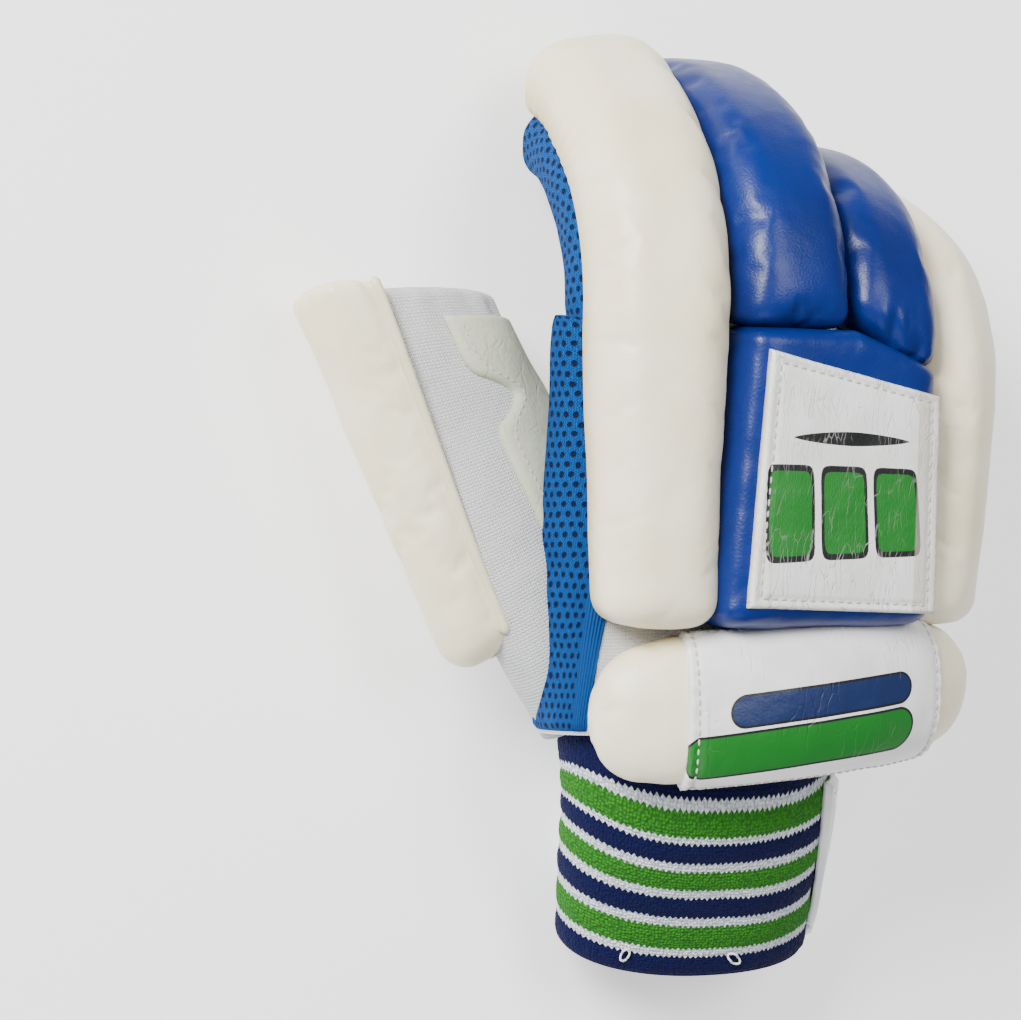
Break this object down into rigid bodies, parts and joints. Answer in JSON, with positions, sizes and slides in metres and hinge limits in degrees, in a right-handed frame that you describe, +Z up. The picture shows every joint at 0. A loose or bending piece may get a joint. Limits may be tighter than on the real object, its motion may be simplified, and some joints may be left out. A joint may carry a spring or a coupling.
{
  "type": "cricket batting glove",
  "caption": "Right-hand cricket batting glove with padded finger rolls, wrist roll, knitted shell and thumb, mesh sides, leather palm patches, striped knit cuff and wrist strap.",
  "frame": {"origin": "on the surface that the glove rests on, under the middle of its overall box", "axes": "+Y from the wrist to the fingertips, +X towards the little finger, +Z up out of the back of the hand"},
  "size_m": [0.2122, 0.2904, 0.1],
  "materials": {
    "cream_leather": "smooth, satin",
    "white_leather": "smooth, fine cracks",
    "blue_leather": "smooth, satin",
    "palm_leather": "soft, creased",
    "white_knit": "fine knit",
    "blue_mesh": "knitted mesh with eyelets",
    "striped_knit": "knitted stripes of navy, white and green",
    "strap_vinyl": "coated, satin",
    "fastener": "hook tape"
  },
  "bodies": {
    "root": {"palm_shell": "white_knit", "thumb_side_mesh": "blue_mesh", "little_side_mesh": "blue_mesh", "grip_patch": "palm_leather", "index_palm": "palm_leather", "middle_palm": "white_knit", "ring_palm": "white_knit", "little_palm": "white_knit", "index_mesh": "blue_mesh", "middle_mesh": "blue_mesh", "ring_mesh": "blue_mesh", "little_mesh": "blue_mesh", "index_roll": "cream_leather", "middle_roll": "blue_leather", "ring_roll": "blue_leather", "little_roll": "cream_leather", "back_pad": "blue_leather", "back_patch": "white_leather", "wrist_roll": "cream_leather", "wrist_panel": "white_leather", "thumb_shell": "white_knit", "thumb_roll": "cream_leather", "thumb_patch": "palm_leather", "cuff": "striped_knit", "strap": "strap_vinyl", "strap_fastener": "fastener"}
  },
  "joints": []
}
